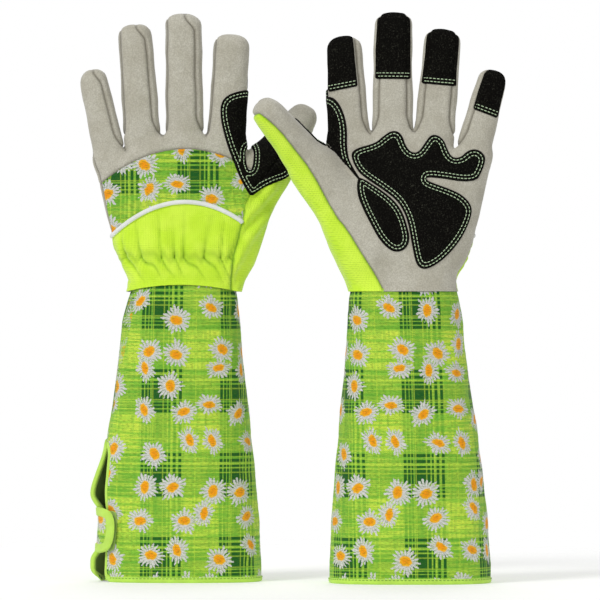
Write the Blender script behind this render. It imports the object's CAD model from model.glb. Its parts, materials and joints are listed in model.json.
"""A pair of long-cuffed gardening gloves, standing filled out on their hems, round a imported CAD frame.

Lengths are millimetres in each glove's own frame (+X thumb's side, +Y palm's side, +Z fingertips)
until a mesh is made; Blender's meshes are metres in the row frame.
"""

import json
import math

import bpy
import numpy as np
from mathutils import Vector
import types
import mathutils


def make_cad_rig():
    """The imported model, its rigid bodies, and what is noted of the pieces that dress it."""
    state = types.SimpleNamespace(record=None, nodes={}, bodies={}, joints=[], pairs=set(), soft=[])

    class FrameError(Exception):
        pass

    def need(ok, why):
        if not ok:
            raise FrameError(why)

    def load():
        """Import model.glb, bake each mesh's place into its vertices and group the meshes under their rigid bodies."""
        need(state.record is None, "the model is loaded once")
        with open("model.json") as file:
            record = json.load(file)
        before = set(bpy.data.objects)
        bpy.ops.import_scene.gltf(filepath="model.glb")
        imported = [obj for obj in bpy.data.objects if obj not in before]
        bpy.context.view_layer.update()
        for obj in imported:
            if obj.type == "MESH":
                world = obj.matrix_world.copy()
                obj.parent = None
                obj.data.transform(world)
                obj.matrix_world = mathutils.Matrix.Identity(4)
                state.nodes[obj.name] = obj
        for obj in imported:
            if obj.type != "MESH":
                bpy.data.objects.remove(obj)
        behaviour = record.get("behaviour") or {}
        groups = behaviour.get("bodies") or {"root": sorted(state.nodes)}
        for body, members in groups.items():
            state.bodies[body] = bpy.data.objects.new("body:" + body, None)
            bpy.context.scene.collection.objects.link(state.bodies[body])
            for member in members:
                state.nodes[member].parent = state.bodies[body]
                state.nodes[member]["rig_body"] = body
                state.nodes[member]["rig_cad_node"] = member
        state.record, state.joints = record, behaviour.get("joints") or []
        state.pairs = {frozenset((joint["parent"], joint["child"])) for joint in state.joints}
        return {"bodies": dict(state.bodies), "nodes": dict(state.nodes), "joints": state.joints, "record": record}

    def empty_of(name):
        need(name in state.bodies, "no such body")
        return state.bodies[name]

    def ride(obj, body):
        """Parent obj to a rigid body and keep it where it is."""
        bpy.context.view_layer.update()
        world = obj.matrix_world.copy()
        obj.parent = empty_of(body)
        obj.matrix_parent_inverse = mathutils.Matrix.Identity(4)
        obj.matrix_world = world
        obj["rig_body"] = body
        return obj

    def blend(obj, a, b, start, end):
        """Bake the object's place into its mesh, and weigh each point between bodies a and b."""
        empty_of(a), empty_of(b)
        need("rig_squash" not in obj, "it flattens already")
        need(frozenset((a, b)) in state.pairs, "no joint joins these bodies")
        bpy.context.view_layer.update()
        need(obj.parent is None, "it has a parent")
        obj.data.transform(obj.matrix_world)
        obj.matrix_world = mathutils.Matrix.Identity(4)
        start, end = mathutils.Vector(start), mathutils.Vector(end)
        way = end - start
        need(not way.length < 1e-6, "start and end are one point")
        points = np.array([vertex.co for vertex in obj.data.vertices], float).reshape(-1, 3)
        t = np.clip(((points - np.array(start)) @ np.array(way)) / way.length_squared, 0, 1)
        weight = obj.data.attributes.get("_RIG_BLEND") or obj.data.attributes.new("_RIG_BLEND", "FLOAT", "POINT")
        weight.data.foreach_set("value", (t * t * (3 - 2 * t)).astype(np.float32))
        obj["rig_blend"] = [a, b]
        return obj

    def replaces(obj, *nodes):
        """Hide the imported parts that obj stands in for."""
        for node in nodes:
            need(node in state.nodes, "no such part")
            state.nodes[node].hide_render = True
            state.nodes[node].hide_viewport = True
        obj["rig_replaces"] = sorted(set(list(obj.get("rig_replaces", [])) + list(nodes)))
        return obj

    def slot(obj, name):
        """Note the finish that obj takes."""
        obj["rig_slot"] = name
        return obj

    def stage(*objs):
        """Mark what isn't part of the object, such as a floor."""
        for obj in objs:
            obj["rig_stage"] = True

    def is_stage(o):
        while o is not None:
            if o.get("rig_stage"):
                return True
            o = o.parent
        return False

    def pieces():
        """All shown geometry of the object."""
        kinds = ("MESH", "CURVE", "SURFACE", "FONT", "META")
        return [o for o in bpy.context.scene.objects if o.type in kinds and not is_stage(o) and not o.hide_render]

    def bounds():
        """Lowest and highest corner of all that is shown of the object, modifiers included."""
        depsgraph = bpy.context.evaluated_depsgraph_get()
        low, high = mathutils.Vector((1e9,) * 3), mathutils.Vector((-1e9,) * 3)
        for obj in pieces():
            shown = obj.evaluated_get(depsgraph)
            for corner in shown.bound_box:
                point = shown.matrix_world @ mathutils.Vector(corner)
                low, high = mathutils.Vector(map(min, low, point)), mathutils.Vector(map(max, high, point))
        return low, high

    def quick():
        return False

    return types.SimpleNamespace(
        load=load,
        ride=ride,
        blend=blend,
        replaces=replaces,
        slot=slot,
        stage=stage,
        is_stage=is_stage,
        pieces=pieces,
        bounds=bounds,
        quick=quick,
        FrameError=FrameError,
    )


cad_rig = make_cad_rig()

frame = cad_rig.load()
CAD_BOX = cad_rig.bounds()

# ------------------------------------------------------------------ driving dimensions, as in the CAD
PAIR_SPACING = 160.8
DEPTH_STEP = 12.0
CENTRING = (2.0, -7.0)
CUFF_TOP = 206.0
FOLD_TO_PALM = 4.0
FINGER_FOLD = 0.4
SQUARENESS = 2.5
FINGERS = ("index", "middle", "ring", "little")
THUMB = len(FINGERS)
THUMB_DEPTH = (15, 13)

# Cuff sections: height, half width, half depth.
CUFF = np.array([
    [0, 56.5, 35], [30, 55.4, 34.6], [57, 53.3, 33.6], [99, 49.2, 31], [142, 44.5, 28], [184, 40, 23.4],
    [206, 38, 21],
])

# Hand sections: height, little finger's side, index finger's side, half depth.
# A finger: fold and tip in the front view, half width at the fold and near the tip, half depth.
# Crotches between the fingers: across and height.
# The thumb: root, fold and tip in space, half width at each, and how far short of the tip
# its lime strip stops.
GLOVES = {
    "glove1": {
        "turn": 1, "lean": 1.5, "slit_angle": 191,
        "hand": np.array([
            [190, -40, 41, 22], [206, -38, 41.6, 20.5], [217, -38.5, 46.2, 19.6], [224, -41.5, 49.4, 19.8],
            [234, -47, 52.6, 19.8], [250, -50.7, 55, 19], [268, -55, 54, 17.5], [284, -58.5, 51, 15.2],
            [300, -62, 45.5, 12.8], [312, -64.5, 43.6, 11.2], [330, -66, 43.6, 10.2],
        ]),
        "digits": {
            "index": {"fold": (31.3, 317), "tip": (36, 385.5), "half": (12.6, 12.4), "depth": 9.8},
            "middle": {"fold": (2.1, 320), "tip": (1.4, 400), "half": (13.3, 12.6), "depth": 9.8},
            "ring": {"fold": (-27.8, 318), "tip": (-33.2, 393), "half": (12.9, 11.6), "depth": 9.6},
            "little": {"fold": (-52, 307), "tip": (-63.6, 361), "half": (11, 9.4), "depth": 8.8},
        },
        "crotches": [(16.9, 314), (-12.7, 314.5), (-40, 301)],
        "thumb": {
            "root": (30, 4, 238), "fold": (60.6, 13.5, 289.5), "tip": (88, 48, 332),
            "half": (20, 15.6, 10), "strip_short": 17.0,
        },
    },
    "glove2": {
        "turn": -1, "lean": 4.5, "slit_angle": 223,
        "hand": np.array([
            [190, -36, 44, 22], [206, -33, 42.6, 20.3], [217, -33.6, 46, 19.4], [224, -38, 49, 19.6],
            [234, -42.5, 53, 19.8], [250, -47, 56, 19], [268, -51, 58, 17.5], [284, -54.5, 57, 15.2],
            [300, -58, 56, 12.8], [312, -60.5, 56, 11.2], [330, -62, 56, 10.2],
        ]),
        "digits": {
            "index": {"fold": (42, 317), "tip": (46.8, 383), "half": (13.8, 11.9), "depth": 9.8},
            "middle": {"fold": (12.2, 320), "tip": (11.6, 399.7), "half": (14.3, 12.9), "depth": 9.8},
            "ring": {"fold": (-17.4, 318), "tip": (-23.6, 388), "half": (14, 12.5), "depth": 9.6},
            "little": {"fold": (-45.6, 307), "tip": (-59.5, 359.5), "half": (12, 9.8), "depth": 8.8},
        },
        "crotches": [(27, 315), (-3.2, 316), (-30, 303.5)],
        "thumb": {
            "root": (31, 4, 234), "fold": (65.5, 13.5, 287), "tip": (104.5, 32, 335),
            "half": (17.5, 15.5, 9.8), "strip_short": 4.0,
        },
    },
}


# ------------------------------------------------------------------ small geometry helpers
def cubic(z, table_z, table_v):
    """Smooth curve through a table, by Catmull-Rom pieces."""
    z = np.clip(z, table_z[0], table_z[-1])
    i = np.clip(np.searchsorted(table_z, z, side="right") - 1, 0, len(table_z) - 2)
    slopes = np.gradient(table_v, table_z)
    h = table_z[i + 1] - table_z[i]
    t = (z - table_z[i]) / h
    a = (2 * t**3 - 3 * t**2 + 1) * table_v[i] + (t**3 - 2 * t**2 + t) * h * slopes[i]
    b = (-2 * t**3 + 3 * t**2) * table_v[i + 1] + (t**3 - t**2) * h * slopes[i + 1]
    return a + b


def smooth(t):
    t = np.clip(t, 0, 1)
    return t * t * (3 - 2 * t)


def smooth_min(a, b, k):
    h = np.maximum(k - np.abs(a - b), 0) / k
    return np.minimum(a, b) - h * h * k / 4


def smooth_max(a, b, k):
    return -smooth_min(-a, -b, k)


def hump(x, width):
    """1 where x is 0, falling off smoothly to either side."""
    return np.exp(-((x / width) ** 2))


def unit(rows):
    """Vectors in rows, made 1 long."""
    return rows / np.maximum(np.linalg.norm(rows, axis=1), 1e-9)[:, None]


def superellipse(terms, sizes):
    """About how far a point is outside |term| = size in every term, for a rounded section or end."""
    n = SQUARENESS
    ratios = [np.abs(t) / s + 1e-9 for t, s in zip(terms, sizes)]
    total = sum(r**n for r in ratios)
    steepness = np.sqrt(sum((r ** (n - 1) / s) ** 2 for r, s in zip(ratios, sizes)))
    slope = total ** (1 / n - 1) * steepness
    return (total ** (1 / n) - 1) / np.maximum(slope, 1e-4)


def waves(p, wavelength, seed):
    """Smooth unevenness between about -1 and 1, the same each run."""
    rng = np.random.default_rng(seed)
    total = np.zeros(len(p))
    for _ in range(6):
        direction = rng.normal(size=3)
        direction *= 2 * np.pi / wavelength / np.linalg.norm(direction) * rng.uniform(0.7, 1.4)
        total += np.sin(p @ direction + rng.uniform(0, 2 * np.pi))
    return total / 6 * 1.6


class Digit:
    """A finger's or thumb's own axes: along it, across it and towards the palm."""

    def __init__(self, fold, tip, half, depth):
        self.fold, self.tip = np.array(fold, float), np.array(tip, float)
        axis = self.tip - self.fold
        self.length = np.linalg.norm(axis)
        self.along = axis / self.length
        across = np.array([self.along[2], 0, -self.along[0]])
        self.across = across / np.linalg.norm(across)
        self.deep = np.cross(self.along, self.across)
        self.middle = self.fold - FOLD_TO_PALM * self.deep
        self.half, self.depth = half, depth
        self.second_fold = self.length * FINGER_FOLD

    def local(self, p):
        q = p - self.middle
        return q @ self.along, q @ self.across, q @ self.deep

    def half_width(self, t):
        return np.interp(t, [0, self.length], self.half)

    def outside(self, p, start=-8.0, cap=10.0):
        t, u, v = self.local(p)
        end = np.maximum(t - (self.length - cap), 0)
        low = np.maximum(start - t, 0)
        deep = self.depth * np.interp(t, [0, self.length], [1, 0.9])
        return superellipse((u, v, end + low), (self.half_width(t), deep, cap))


def finger_of(name, glove):
    d = GLOVES[glove]["digits"][name]
    fold = (d["fold"][0], FOLD_TO_PALM, d["fold"][1])
    tip = (d["tip"][0], FOLD_TO_PALM, d["tip"][1])
    return Digit(fold, tip, d["half"], d["depth"])


def thumb_of(glove):
    t = GLOVES[glove]["thumb"]
    return Digit(t["fold"], t["tip"], t["half"][1:], THUMB_DEPTH[1])


def digits_of(glove):
    return {**{n: finger_of(n, glove) for n in FINGERS}, "thumb": thumb_of(glove)}


def to_row(p, glove):
    """Glove frame, millimetres, to the row frame, metres."""
    turn = GLOVES[glove]["turn"]
    place = np.array([-turn * PAIR_SPACING / 2 + CENTRING[0], turn * DEPTH_STEP + CENTRING[1], 0])
    return (np.asarray(p, float) * [turn, turn, 1] + place) / 1000


def direction_to_row(n, glove):
    turn = GLOVES[glove]["turn"]
    return np.asarray(n, float) * [turn, turn, 1]


# ------------------------------------------------------------------ the hand as one smooth body
def hand_outside(p, glove):
    """About how far p is outside the filled hand, fingers and thumb."""
    g = GLOVES[glove]
    table = g["hand"]
    left, right, deep = (cubic(p[:, 2], table[:, 0], table[:, k]) for k in (1, 2, 3))
    palm = superellipse((p[:, 0] - (left + right) / 2, p[:, 1]), ((right - left) / 2, deep))
    crotches = sorted(g["crotches"])
    tops_x = [-90, crotches[0][0], *(c[0] for c in crotches[1:]), 90]
    tops_z = [crotches[0][1] - 2, crotches[0][1], *(c[1] for c in crotches[1:]), crotches[-1][1] - 4]
    body = smooth_max(palm, p[:, 2] - np.interp(p[:, 0], tops_x, tops_z), 6)
    thumb = thumb_of(glove)
    root = np.array(g["thumb"]["root"], float)
    stub = Digit(root, thumb.middle, g["thumb"]["half"][:2], THUMB_DEPTH[0])
    stub.middle = root
    t, u, v = stub.local(p)
    past = np.maximum(t - stub.length, 0) + np.maximum(-t, 0)
    deep = np.interp(t, [0, stub.length], THUMB_DEPTH)
    base = superellipse((u, v, past), (stub.half_width(t), deep, 12))
    body = smooth_min(body, base, 14)
    digits = np.min([finger_of(n, glove).outside(p) for n in FINGERS], axis=0)
    body = smooth_min(body, digits, 5)
    return smooth_min(body, thumb.outside(p, start=-10.0, cap=13.0), 7)


def surface_nets(values, low, step):
    """Vertices and quads of the surface where a grid of values changes sign."""
    shape = np.array(values.shape)
    total = np.zeros((*(shape - 1), 3))
    count = np.zeros(shape - 1)
    for axis in range(3):
        others = [k for k in range(3) if k != axis]
        for a in (0, 1):
            for b in (0, 1):
                first = [slice(0, s - 1) for s in shape]
                first[others[0]] = slice(a, shape[others[0]] - 1 + a)
                first[others[1]] = slice(b, shape[others[1]] - 1 + b)
                second = list(first)
                second[axis] = slice(1, shape[axis])
                v0, v1 = values[tuple(first)], values[tuple(second)]
                crossed = (v0 < 0) != (v1 < 0)
                share = np.where(crossed, v0 / np.where(v0 == v1, 1, v0 - v1), 0)
                total[..., axis] += share
                total[..., others[0]] += a * crossed
                total[..., others[1]] += b * crossed
                count += crossed
    cells = np.argwhere(count > 0)
    index = -np.ones(count.shape, int)
    index[tuple(cells.T)] = np.arange(len(cells))
    points = low + (cells + total[tuple(cells.T)] / count[tuple(cells.T)][:, None]) * step
    quads = []
    for axis in range(3):
        j, k = (axis + 1) % 3, (axis + 2) % 3
        v0 = np.take(values, range(shape[axis] - 1), axis)
        v1 = np.take(values, range(1, shape[axis]), axis)
        at = np.argwhere((v0 < 0) != (v1 < 0))
        at = at[(at[:, j] > 0) & (at[:, j] < shape[j] - 1) & (at[:, k] > 0) & (at[:, k] < shape[k] - 1)]
        corners = []
        for dj, dk in ((-1, -1), (0, -1), (0, 0), (-1, 0)):
            c = at.copy()
            c[:, j] += dj
            c[:, k] += dk
            corners.append(index[tuple(c.T)])
        quad = np.stack(corners, 1)
        flip = v0[tuple(at.T)] > 0
        quad[flip] = quad[flip][:, ::-1]
        quads.append(quad)
    return points, np.concatenate(quads)


def gradient(field, p, step=0.3):
    g = np.empty_like(p)
    for k in range(3):
        d = np.zeros(3)
        d[k] = step
        g[:, k] = (field(p + d) - field(p - d)) / (2 * step)
    return g


def settle(field, p, rounds=3):
    """Moves points onto the field's surface; returns them with the surface's normals."""
    for _ in range(rounds):
        g = gradient(field, p)
        size = np.maximum((g**2).sum(1), 0.05)
        p = p - np.clip(field(p) / size, -2, 2)[:, None] * g
    return p, unit(gradient(field, p))


HAND_BOX = np.array([[-82.0, -30.0, 196.0], [124.0, 72.0, 406.0]])


def hand_mesh(glove, step):
    """The smooth hand's surface as points and triangles."""
    low, high = HAND_BOX
    counts = np.ceil((high - low) / step).astype(int)
    axes = [low[k] + step * np.arange(counts[k]) for k in range(3)]
    grid = np.stack(np.meshgrid(*axes, indexing="ij"), -1).reshape(-1, 3)
    values = np.concatenate([hand_outside(part, glove) for part in np.array_split(grid, 8)])
    points, quads = surface_nets(values.reshape(counts), low, step)
    points, _ = settle(lambda q: hand_outside(q, glove), points)
    used = np.unique(quads)
    remap = -np.ones(len(points), int)
    remap[used] = np.arange(len(used))
    quads = remap[quads]
    tris = np.concatenate([quads[:, [0, 1, 2]], quads[:, [0, 2, 3]]])
    return points[used], tris


def cut_along(data, tris, values, snap=0.12):
    """Adds edges to a triangle mesh along the line where values, one for each point, are 0.

    data has a row for each point: its place in the first three columns, then anything carried along.
    """
    values = np.where(np.abs(values) < snap, 0.0, values)
    sign = np.sign(values)[tris]
    mixed = (sign.min(1) < 0) & (sign.max(1) > 0)
    keep, work = tris[~mixed], tris[mixed]
    made, result, added = {}, [], []

    def between(a, b):
        key = (a, b) if a < b else (b, a)
        if key not in made:
            t = values[key[0]] / (values[key[0]] - values[key[1]])
            made[key] = len(data) + len(added)
            added.append(data[key[0]] * (1 - t) + data[key[1]] * t)
        return made[key]

    for tri, s in zip(work.tolist(), sign[mixed].tolist()):
        if 0 in s:
            k = s.index(0)
            a, b, c = tri[k], tri[(k + 1) % 3], tri[(k + 2) % 3]
            m = between(b, c)
            result += [(a, b, m), (a, m, c)]
            continue
        k = next(i for i in range(3) if s[i] != s[(i + 1) % 3] and s[i] != s[(i + 2) % 3])
        a, b, c = tri[k], tri[(k + 1) % 3], tri[(k + 2) % 3]
        m, n = between(a, b), between(a, c)
        result += [(a, m, n), (m, b, c), (m, c, n)]
    if not result:
        return data, tris
    return np.vstack([data, added]), np.vstack([keep, np.array(result)])


def trace(data, tris, values):
    """Chains of rows of data along the line where values are 0."""
    above = values[tris] > 0
    mixed = above.any(1) & ~above.all(1)
    place, links = {}, {}
    for tri, side in zip(tris[mixed].tolist(), above[mixed].tolist()):
        ends = []
        for k in range(3):
            a, b = sorted((tri[k], tri[(k + 1) % 3]))
            if side[k] != side[(k + 1) % 3]:
                t = values[a] / (values[a] - values[b])
                place[(a, b)] = data[a] * (1 - t) + data[b] * t
                ends.append((a, b))
        links.setdefault(ends[0], []).append(ends[1])
        links.setdefault(ends[1], []).append(ends[0])
    chains, seen = [], set()
    for start in sorted(links, key=lambda e: (len(links[e]), e)):
        if start in seen:
            continue
        chain, at = [start], start
        seen.add(start)
        while True:
            onward = [e for e in links[at] if e not in seen]
            if not onward:
                break
            at = onward[0]
            seen.add(at)
            chain.append(at)
        if len(chain) > 2 and len(links[chain[0]]) == 2 and chain[0] in links[chain[-1]]:
            chain.append(chain[0])
        if len(chain) > 3:
            chains.append(np.array([place[e] for e in chain]))
    return chains


def resample(chain, pitch):
    """Rows of a chain at even steps along it."""
    steps = np.linalg.norm(np.diff(chain[:, :3], axis=0), axis=1)
    along = np.concatenate([[0], np.cumsum(steps)])
    count = max(int(round(along[-1] / pitch)), 2)
    at = np.linspace(0, along[-1], count + 1)
    return np.stack([np.interp(at, along, chain[:, k]) for k in range(chain.shape[1])], 1)


def vertex_normals(points, tris):
    a, b, c = (points[tris[:, k]] for k in range(3))
    face = np.cross(b - a, c - a)
    total = np.zeros_like(points)
    for k in range(3):
        np.add.at(total, tris[:, k], face)
    return unit(total)


def outline_distance(points, outline):
    """How far inside a closed outline each 2-D point is; negative outside."""
    outline = np.asarray(outline, float)
    best = np.full(len(points), 1e9)
    inside = np.zeros(len(points), bool)
    for a, b in zip(outline, np.roll(outline, -1, 0)):
        edge = b - a
        t = np.clip((points - a) @ edge / max(edge @ edge, 1e-9), 0, 1)
        best = np.minimum(best, np.linalg.norm(points - a - t[:, None] * edge, axis=1))
        if a[1] != b[1]:
            crosses = (points[:, 1] > min(a[1], b[1])) & (points[:, 1] <= max(a[1], b[1]))
            x = a[0] + (points[:, 1] - a[1]) / edge[1] * edge[0]
            inside ^= crosses & (x > points[:, 0])
    return np.where(inside, best, -best)


def rounded(outline, rounds=2):
    """A closed outline with its corners cut to curves."""
    outline = np.asarray(outline, float)
    for _ in range(rounds):
        after = np.roll(outline, -1, 0)
        outline = np.stack([outline * 0.75 + after * 0.25, outline * 0.25 + after * 0.75], 1).reshape(-1, 2)
    return outline


# ------------------------------------------------------------------ meshes
def clean(tris):
    a, b, c = tris.T
    return tris[(a != b) & (b != c) & (a != c)]


def shell(points, normals, tris, thickness, lift=0.0):
    """Closes a patch of surface into a thin body. Returns points, outward normals and faces."""
    used, flat = np.unique(tris, return_inverse=True)
    tris = flat.reshape(-1, 3)
    outer = points[used] + normals[used] * np.broadcast_to(lift, len(points))[used][:, None]
    inner = outer - normals[used] * thickness
    count = len(used)
    edges = np.concatenate([tris[:, [0, 1]], tris[:, [1, 2]], tris[:, [2, 0]]])
    keys = edges[:, 0] * count + edges[:, 1]
    mirrored = edges[:, 1] * count + edges[:, 0]
    border = edges[~np.isin(keys, mirrored)]
    faces = [tuple(t) for t in tris.tolist()]
    faces += [(a + count, c + count, b + count) for a, b, c in tris.tolist()]
    faces += [(b, a, a + count, b + count) for a, b in border.tolist()]
    return np.vstack([outer, inner]), np.vstack([normals[used], -normals[used]]), faces, used


def add_to_scene(name, data):
    thing = bpy.data.objects.new(name, data)
    bpy.context.scene.collection.objects.link(thing)
    return thing


def piece(name, glove, points, faces, material, slot, normals=None, cloth=None, shade=None):
    """A smooth mesh object in the row frame, from millimetres in the glove's frame."""
    mesh = bpy.data.meshes.new(name)
    mesh.from_pydata(to_row(points, glove).tolist(), [], [tuple(f) for f in faces])
    mesh.shade_smooth()
    where = np.asarray(points if cloth is None else cloth, float) / 1000
    mesh.attributes.new("cloth", "FLOAT_VECTOR", "POINT").data.foreach_set("vector", where.ravel())
    if shade is not None:
        mesh.attributes.new("shade", "FLOAT", "POINT").data.foreach_set("value", np.asarray(shade, float))
    if normals is not None:
        mesh.normals_split_custom_set_from_vertices(direction_to_row(normals, glove).tolist())
    mesh.materials.append(MATERIALS[material])
    thing = add_to_scene(name, mesh)
    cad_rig.slot(thing, slot)
    return thing


def ring_faces(rings, sides):
    """Faces of a bar whose points go round it ring by ring, with flat ends."""
    faces = []
    for a in range(0, (rings - 1) * sides, sides):
        b = a + sides
        for k in range(sides):
            m = (k + 1) % sides
            faces.append((a + k, a + m, b + m, b + k))
    faces.append(tuple(range(sides))[::-1])
    faces.append(tuple(range((rings - 1) * sides, rings * sides)))
    return faces


def tube(path, normals, half_across, half_deep, sides=10):
    """A cord or tape of oval section along a path that lies on a surface with these normals."""
    after, before = np.vstack([path[1:], path[-1:]]), np.vstack([path[:1], path[:-1]])
    along = unit(after - before)
    across = unit(np.cross(along, normals))
    up = np.cross(across, along)
    wide = across * np.broadcast_to(half_across, len(path))[:, None]
    deep = up * np.broadcast_to(half_deep, len(path))[:, None]
    turn = np.linspace(0, math.tau, sides, endpoint=False)
    rings = [path + wide * math.cos(a) + deep * math.sin(a) for a in turn]
    return np.stack(rings, 1).reshape(-1, 3), ring_faces(len(path), sides)


STITCH_PITCH = 2.7
STITCH_LENGTH = 2.0
STITCH_RADIUS = 0.3
STITCH_SIDES = 6
# A stitch's rings: how far along its half length, how thick, and how high, in radii.
STITCH_RINGS = np.array([
    (-1, 0.35, -0.5), (-0.72, 0.85, 0.1), (0, 1, 0.45), (0.72, 0.85, 0.1), (1, 0.35, -0.5),
])


def stitch_row(chain, lift):
    """The middles and points of separate stitches along rows that hold a place and a normal."""
    rows = resample(chain, STITCH_PITCH)
    middles = (rows[1:] + rows[:-1]) / 2
    along, normals = unit(rows[1:, :3] - rows[:-1, :3]), unit(middles[:, 3:6])
    across = np.cross(normals, along)
    share, size, rise = STITCH_RINGS.T[:, :, None, None]
    turn = np.linspace(0, math.tau, STITCH_SIDES, endpoint=False)[:, None]
    bodies = middles[:, None, None, :3] + along[:, None, None] * share * STITCH_LENGTH / 2
    bodies = bodies + across[:, None, None] * np.cos(turn) * size * STITCH_RADIUS
    bodies = bodies + normals[:, None, None] * (lift + (rise + np.sin(turn) * size) * STITCH_RADIUS)
    return middles, bodies.reshape(len(middles), -1, 3)


def stitches(name, glove, bodies, material, slot):
    """One object of all the stitches in bodies."""
    each = bodies.shape[1]
    pattern = ring_faces(len(STITCH_RINGS), STITCH_SIDES)
    faces = [tuple(i + k * each for i in face) for k in range(len(bodies)) for face in pattern]
    return piece(name, glove, bodies.reshape(-1, 3), faces, material, slot)


# ------------------------------------------------------------------ materials
def linear(*rgb):
    """A colour given as it looks on a screen, 0 to 255, as a shader's linear colour."""
    parts = [c / 255 for c in rgb]
    return (*[c / 12.92 if c <= 0.04045 else ((c + 0.055) / 1.055) ** 2.4 for c in parts], 1.0)


class Value:
    """What a node of a material gives, with plain arithmetic on it."""

    def __init__(self, finish, socket):
        self.finish, self.socket = finish, socket

    def __add__(self, other):
        return self.finish.math("ADD", self, other)

    def __sub__(self, other):
        return self.finish.math("SUBTRACT", self, other)

    def __mul__(self, other):
        return self.finish.math("MULTIPLY", self, other)

    def __truediv__(self, other):
        return self.finish.math("DIVIDE", self, other)

    def __abs__(self):
        return self.finish.math("ABSOLUTE", self)


class Finish:
    """A material and short calls that add nodes to it. Lengths in it are metres along the cloth."""

    def __init__(self, name, roughness, sheen=0.0, shine=0.25):
        self.material = bpy.data.materials.new(name)
        self.material.use_nodes = True
        self.tree = self.material.node_tree
        self.surface = self.tree.nodes["Principled BSDF"]
        self.surface.inputs["Roughness"].default_value = roughness
        self.surface.inputs["Sheen Weight"].default_value = sheen
        self.surface.inputs["Sheen Roughness"].default_value = 0.5
        self.surface.inputs["Specular IOR Level"].default_value = shine
        self.place = self.node("ShaderNodeAttribute", "Vector", attribute_name="cloth")
        self.shade = self.node("ShaderNodeAttribute", "Fac", attribute_name="shade")

    def node(self, kind, output=0, given=None, **settings):
        """Adds a node with these settings and these values at its inputs; gives one of its outputs."""
        made = self.tree.nodes.new(kind)
        for name, value in settings.items():
            setattr(made, name, value)
        for key, value in (given or {}).items():
            self.set(made.inputs[key], value)
        return Value(self, made.outputs[output])

    def set(self, socket, value):
        if isinstance(value, Value):
            self.tree.links.new(value.socket, socket)
        else:
            socket.default_value = value

    def math(self, operation, *values):
        return self.node("ShaderNodeMath", given=dict(enumerate(values)), operation=operation)

    def vector(self, operation, a, b):
        return self.node("ShaderNodeVectorMath", given={0: a, 1: b}, operation=operation)

    def parts(self, vector):
        made = self.node("ShaderNodeSeparateXYZ", given={0: vector})
        return [Value(self, socket) for socket in made.socket.node.outputs]

    def noise(self, scale, detail=2.0, roughness=0.5, stretch=(1, 1, 1)):
        place = self.vector("MULTIPLY", self.place, stretch)
        given = {"Vector": place, "Scale": scale, "Detail": detail, "Roughness": roughness}
        return self.node("ShaderNodeTexNoise", "Fac", given)

    def mix(self, share, a, b):
        return self.node("ShaderNodeMix", 2, {0: share, 6: a, 7: b}, data_type="RGBA")

    def between(self, value, low, high, to_low=0.0, to_high=1.0):
        given = dict(enumerate((value, low, high, to_low, to_high)))
        return self.node("ShaderNodeMapRange", given=given, interpolation_type="SMOOTHSTEP")

    def weave(self, pitch):
        """Threads over and under each other, 0 to 1."""
        x, _, z = self.parts(self.place)
        warp = self.math("SINE", x * (math.tau / pitch))
        weft = self.math("SINE", z * (math.tau / pitch))
        return warp * weft * 0.5 + 0.5

    def done(self, colour, height=None, depth=0.0):
        """Gives the material its colour, with height, 0 to 1, standing out by depth metres."""
        self.set(self.surface.inputs["Base Color"], colour)
        if height:
            given = {"Strength": 1.0, "Distance": depth, "Height": height}
            self.set(self.surface.inputs["Normal"], self.node("ShaderNodeBump", given=given))
        return self.material


def suede():
    """Grey microfibre suede: a short nap, brushed lighter and darker in patches."""
    f = Finish("grey_suede", 0.92, sheen=0.35)
    nap, patches, blotches = f.noise(1150, 4, 0.7), f.noise(60, 4, 0.6), f.noise(260, 3, 0.6)
    tone = f.mix(f.between(patches, 0.3, 0.7), linear(186, 182, 166), linear(203, 200, 186))
    tone = f.mix(f.between(blotches, 0.35, 0.75, 0, 0.3), tone, linear(178, 173, 157))
    tone = f.mix(f.between(nap, 0.4, 0.62, 0.45, 0), tone, linear(142, 137, 121))
    in_shade = linear(98, 92, 78)
    return f.done(f.mix(f.shade * 0.75, tone, in_shade), nap + blotches * 0.8, 0.0003)


def grip():
    """Black grip suede, with pale specks where the coating has worn off the fibres."""
    f = Finish("grip_patch", 0.95, shine=0.08)
    grain, worn = f.noise(1150, 3, 0.75), f.noise(120, 3, 0.6)
    specks = f.between(grain, 0.53, 0.7) * f.between(worn, 0.3, 0.75, 0.3, 0.9)
    return f.done(f.mix(specks, linear(8, 7, 5), linear(70, 70, 60)), grain + worn * 0.3, 0.0004)


def lime_knit():
    """Lime knitted fabric: small cells in staggered rows."""
    f = Finish("lime_fabric", 0.8, sheen=0.3)
    x, y, z = f.parts(f.place)
    per_metre = math.tau / 0.003
    side, up = (x + y) * per_metre, z * per_metre
    cells = f.math("SINE", side + up) * f.math("SINE", side - up) * 0.5 + 0.5
    tone = f.mix(f.between(f.noise(70, 3), 0.3, 0.7), linear(200, 240, 48), linear(216, 250, 72))
    cells = f.noise(900, 2) * 0.5 + cells * 0.75
    tone = f.mix(f.between(cells, 0.1, 0.6, 0.4, 0), tone, linear(160, 208, 30))
    in_shade = linear(98, 150, 14)
    return f.done(f.mix(f.shade * 0.85, tone, in_shade), cells, 0.0004)


def tape(name, pale):
    """Woven binding tape or piping."""
    f = Finish(name, 0.7, sheen=0.2)
    darker = [c * 0.88 for c in pale[:3]] + [1.0]
    tone = f.mix(f.between(f.noise(90, 3), 0.3, 0.7), pale, darker)
    return f.done(tone, f.weave(0.0011) + f.noise(1800), 0.0002)


def thread():
    f = Finish("stitch_thread", 0.6, sheen=0.2)
    return f.done(f.mix(f.noise(900), linear(214, 232, 200), linear(176, 208, 156)))


def hook_and_loop():
    f = Finish("hook_and_loop", 0.95, sheen=0.4)
    fuzz = f.noise(1400, 3, 0.8)
    return f.done(f.mix(fuzz, linear(128, 176, 62), linear(188, 222, 110)), fuzz, 0.0008)


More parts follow.
